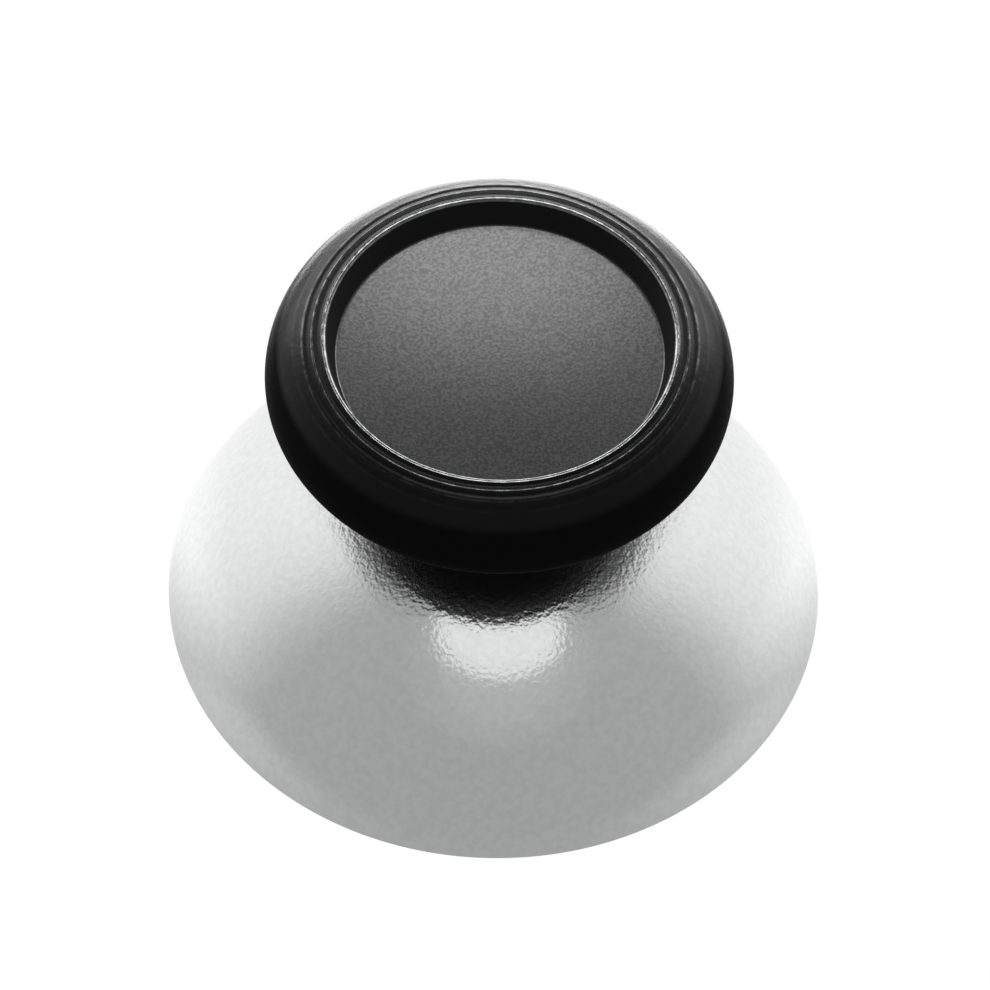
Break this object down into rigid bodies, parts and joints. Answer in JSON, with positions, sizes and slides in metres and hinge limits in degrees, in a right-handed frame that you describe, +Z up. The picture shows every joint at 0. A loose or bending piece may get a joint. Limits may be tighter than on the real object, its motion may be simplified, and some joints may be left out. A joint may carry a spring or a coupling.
{
  "type": "controller thumb grip",
  "caption": "Turned metal thumb grip for a game controller's stick: a black head with a dished recess and fine grooves, on a silver domed skirt with a keyed socket below.",
  "frame": {"origin": "centre of the dome's open foot, on the plane it stands on", "axes": "+Z up the axis of the neck towards the thumb recess; the socket's two flats face +Y and -Y"},
  "size_m": [0.025, 0.025, 0.016],
  "materials": {
    "black_head": "bead-blasted and black anodised, with bright glints on the turned edges",
    "silver_dome": "fine bead-blasted silver with a soft sheen"
  },
  "bodies": {
    "root": {"grip_head": "black_head", "dome_skirt": "silver_dome"}
  },
  "joints": []
}
